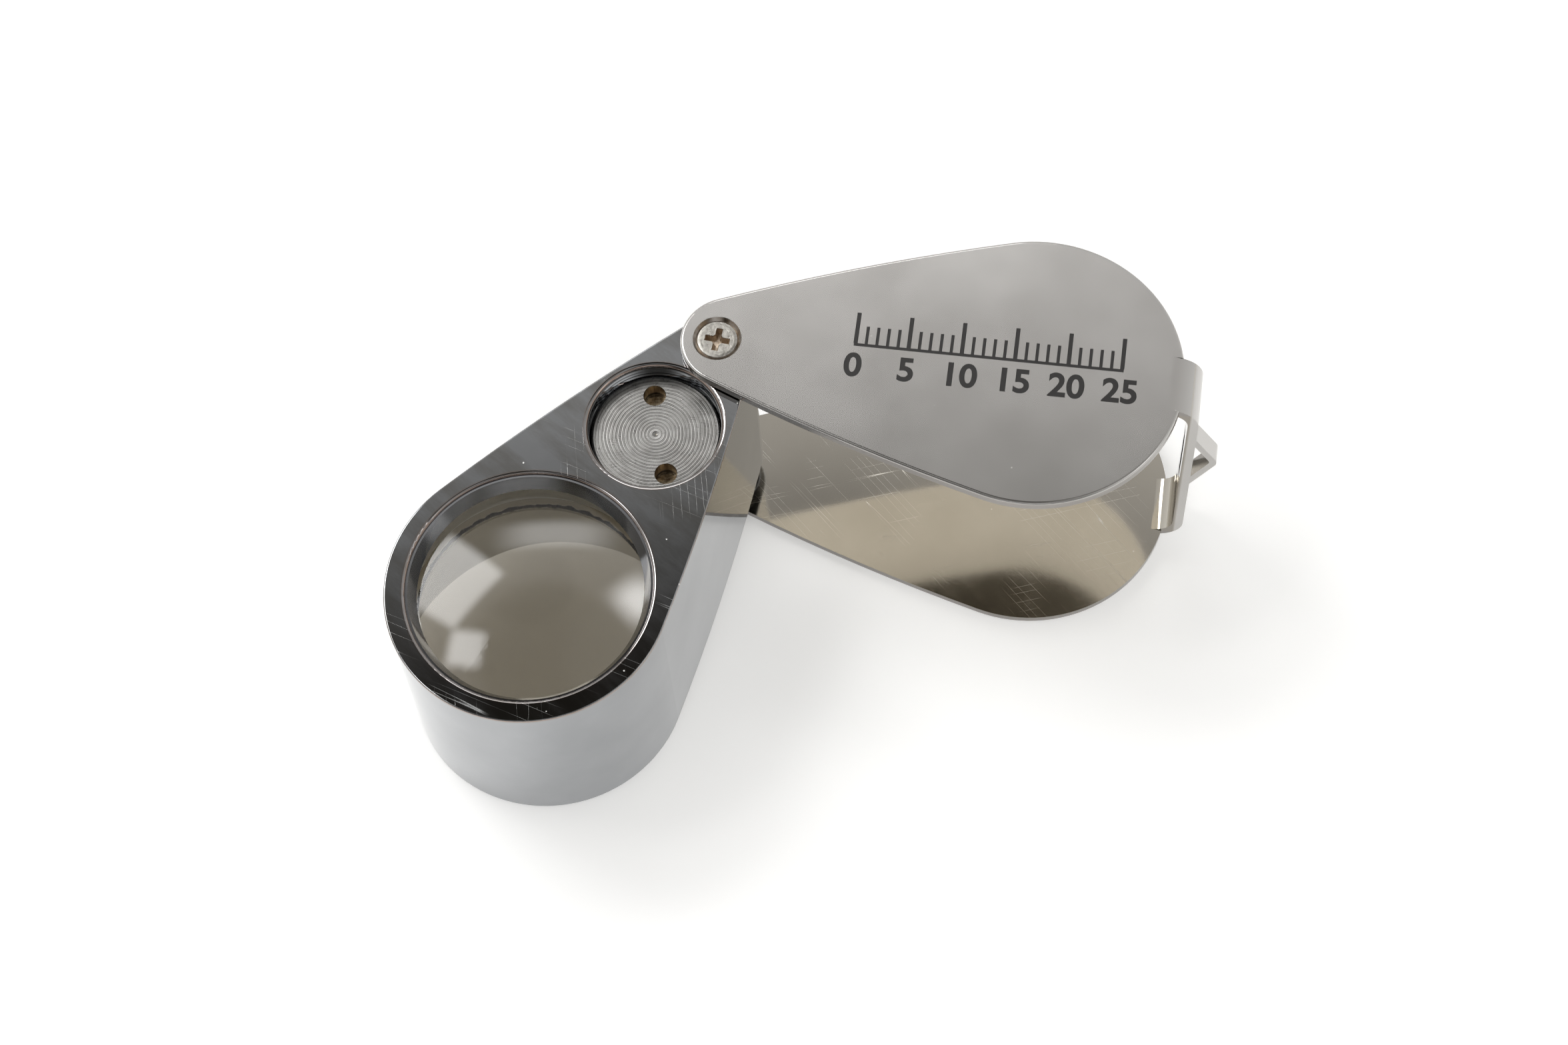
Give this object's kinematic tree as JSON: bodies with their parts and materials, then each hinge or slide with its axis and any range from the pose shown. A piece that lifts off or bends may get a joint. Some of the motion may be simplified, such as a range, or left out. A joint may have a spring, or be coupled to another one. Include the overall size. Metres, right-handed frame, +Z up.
{
  "type": "folding hand lens",
  "caption": "Folding illuminated hand lens: a drop-shaped lens body with battery cap, lamp and slide switch swings on a screwed pivot inside a U-bent steel sleeve with a lanyard loop.",
  "frame": {"origin": "centre of the sleeve's round end, on the underside of its lower plate", "axes": "+X from the pivot to the bridge of the sleeve, +Z up along the pivot axis towards the screw head that shows; the lens body stands swung out towards -Y"},
  "size_m": [0.075, 0.054, 0.0269],
  "materials": {
    "steel_satin": "satin stainless outside, polished and scratched inside",
    "post_steel": "turned steel",
    "screw_nickel": "dull nickel plate, coarse grained heads",
    "washer_brass": "stamped",
    "spring_steel": "blued spring steel",
    "spacer_steel": "turned steel",
    "body_chrome": "polished chrome on a zinc casting",
    "ring_chrome": "polished chrome",
    "lens_glass": "polished crown glass",
    "seat_aluminium": "turned aluminium with a torn upper edge",
    "cap_nickel": "nickel-plated brass, face turned in rings",
    "cell_steel": "rolled steel can",
    "liner_plastic": "matt",
    "contact_brass": "bright",
    "led_clear": "clear moulded epoxy",
    "holder_plastic": "matt",
    "lead_tin": "tinned wire",
    "switch_black": "fine grained"
  },
  "bodies": {
    "sleeve": {"sleeve": "steel_satin", "pivot_post": "post_steel", "pivot_screws": "screw_nickel", "top_washer": "washer_brass", "wave_washer": "spring_steel", "pivot_spacer": "spacer_steel"},
    "lens_body": {"lens_body": "body_chrome", "retaining_ring": "ring_chrome", "lens": "lens_glass", "lens_seat": "seat_aluminium", "battery_cap": "cap_nickel", "button_cell_1": "cell_steel", "button_cell_2": "cell_steel", "button_cell_3": "cell_steel", "battery_liner": "liner_plastic", "contact_spring": "contact_brass", "contact_plate": "contact_brass", "led": "led_clear", "led_holder": "holder_plastic", "led_leads": "lead_tin", "switch_housing": "switch_black", "switch_contact": "contact_brass"},
    "switch_knob": {"switch_knob": "switch_black"}
  },
  "joints": [
    {"name": "body_swing", "type": "hinge", "parent": "sleeve", "child": "lens_body", "pos_m": [-0.03, 0, 0.0135], "axis": [0, 0, 1], "continuous": true},
    {"name": "switch_slide", "type": "slide", "parent": "lens_body", "child": "switch_knob", "axis": [-0.7163, -0.6978, 0], "range_m": [0, 0.002]}
  ]
}
